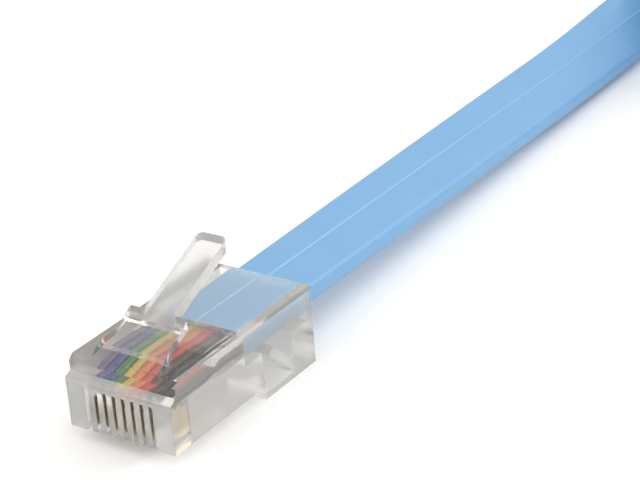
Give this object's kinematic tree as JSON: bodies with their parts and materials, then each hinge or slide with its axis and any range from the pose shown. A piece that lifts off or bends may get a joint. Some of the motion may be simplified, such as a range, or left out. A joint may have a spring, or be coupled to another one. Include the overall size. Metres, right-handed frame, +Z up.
{
  "type": "flat network console cable",
  "caption": "Flat light-blue cable with a clear modular plug at each end, gold blades and coloured wires showing inside, sprung latches, and its spare length wound in a tied coil.",
  "frame": {"origin": "middle of the base of plug A's box, on the surface that the plug lies on", "axes": "+X across plug A, +Y from its nose to the cable, +Z up, the side that the latch is on"},
  "size_m": [0.0942, 0.1852, 0.0195],
  "materials": {
    "clear_plastic": "clear moulded plastic, polished, a little warm grey",
    "gold_contact": "gold-plated, satin",
    "cable_blue": "soft light-blue sheath, satin, with one fine ridge along its face",
    "strap_black": "woven hook-and-loop strap",
    "wire_violet": "wire insulation, satin",
    "wire_blue": "wire insulation, satin",
    "wire_green": "wire insulation, satin",
    "wire_yellow": "wire insulation, satin",
    "wire_orange": "wire insulation, satin",
    "wire_red": "wire insulation, satin",
    "wire_brown": "wire insulation, satin",
    "wire_black": "wire insulation, satin"
  },
  "bodies": {
    "root": {"plug_a_housing": "clear_plastic", "plug_a_contact_1": "gold_contact", "plug_a_contact_2": "gold_contact", "plug_a_contact_3": "gold_contact", "plug_a_contact_4": "gold_contact", "plug_a_contact_5": "gold_contact", "plug_a_contact_6": "gold_contact", "plug_a_contact_7": "gold_contact", "plug_a_contact_8": "gold_contact", "plug_a_wire_1": "wire_violet", "plug_a_wire_2": "wire_blue", "plug_a_wire_3": "wire_green", "plug_a_wire_4": "wire_yellow", "plug_a_wire_5": "wire_orange", "plug_a_wire_6": "wire_red", "plug_a_wire_7": "wire_brown", "plug_a_wire_8": "wire_black", "cable_jacket": "cable_blue", "cable_coil": "cable_blue", "cable_tail": "cable_blue", "coil_tie": "strap_black", "plug_b_housing": "clear_plastic", "plug_b_contact_1": "gold_contact", "plug_b_contact_2": "gold_contact", "plug_b_contact_3": "gold_contact", "plug_b_contact_4": "gold_contact", "plug_b_contact_5": "gold_contact", "plug_b_contact_6": "gold_contact", "plug_b_contact_7": "gold_contact", "plug_b_contact_8": "gold_contact", "plug_b_wire_1": "wire_black", "plug_b_wire_2": "wire_brown", "plug_b_wire_3": "wire_red", "plug_b_wire_4": "wire_orange", "plug_b_wire_5": "wire_yellow", "plug_b_wire_6": "wire_green", "plug_b_wire_7": "wire_blue", "plug_b_wire_8": "wire_violet"},
    "latch_a": {"plug_a_latch": "clear_plastic"},
    "latch_b": {"plug_b_latch": "clear_plastic"}
  },
  "joints": [
    {"name": "latch_a_press", "type": "hinge", "parent": "root", "child": "latch_a", "pos_m": [0, -0.00813, 0.0083], "axis": [1, 0, 0], "range_deg": [-15, 0], "stiffness_Nm_per_rad": 0.3},
    {"name": "latch_b_press", "type": "hinge", "parent": "root", "child": "latch_b", "pos_m": [0.05657, 0.04779, 0.00584], "axis": [0, 0, 1], "range_deg": [-15, 0], "stiffness_Nm_per_rad": 0.3}
  ]
}
